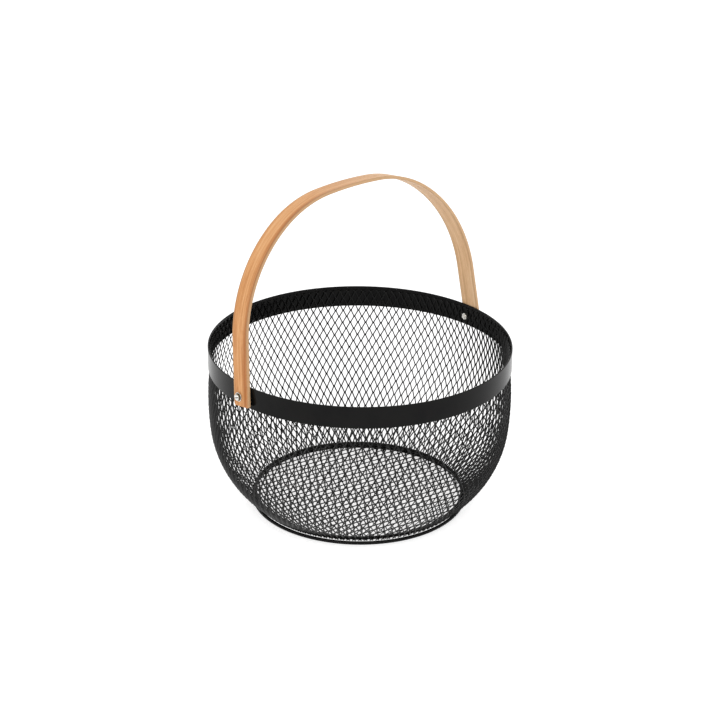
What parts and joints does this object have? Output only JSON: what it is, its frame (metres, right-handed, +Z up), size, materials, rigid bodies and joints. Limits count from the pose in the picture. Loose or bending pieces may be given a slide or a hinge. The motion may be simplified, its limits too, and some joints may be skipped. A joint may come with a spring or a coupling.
{
  "type": "wire produce basket",
  "caption": "Round expanded-metal produce basket with a flat steel rim band, wire rings at the base and a bentwood handle that swings on two screws.",
  "frame": {"origin": "on the ground at the centre of the foot ring", "axes": "+Z up; X along the handle's pivot axis; the handle leans 7.7 degrees towards +Y at rest"},
  "size_m": [0.2744, 0.2612, 0.2866],
  "materials": {
    "band": "satin black powder coat",
    "mesh": "satin black powder coat on expanded steel",
    "wire": "satin black powder coat",
    "wood": "clear satin on light straight-grained wood",
    "fasteners": "bright nickel plate"
  },
  "bodies": {
    "basket": {"rim_band": "band", "wall_mesh": "mesh", "base_mesh": "mesh", "base_ring": "wire", "foot_ring": "wire", "pivot_screw_left": "fasteners", "pivot_screw_right": "fasteners", "washer_left": "fasteners", "washer_right": "fasteners", "nut_left": "fasteners", "nut_right": "fasteners"},
    "handle": {"handle": "wood"}
  },
  "joints": [
    {"name": "handle_swing", "type": "hinge", "parent": "basket", "child": "handle", "pos_m": [0, 0, 0.135], "axis": [1, 0, 0], "range_deg": [-105.3, 120.7]}
  ]
}
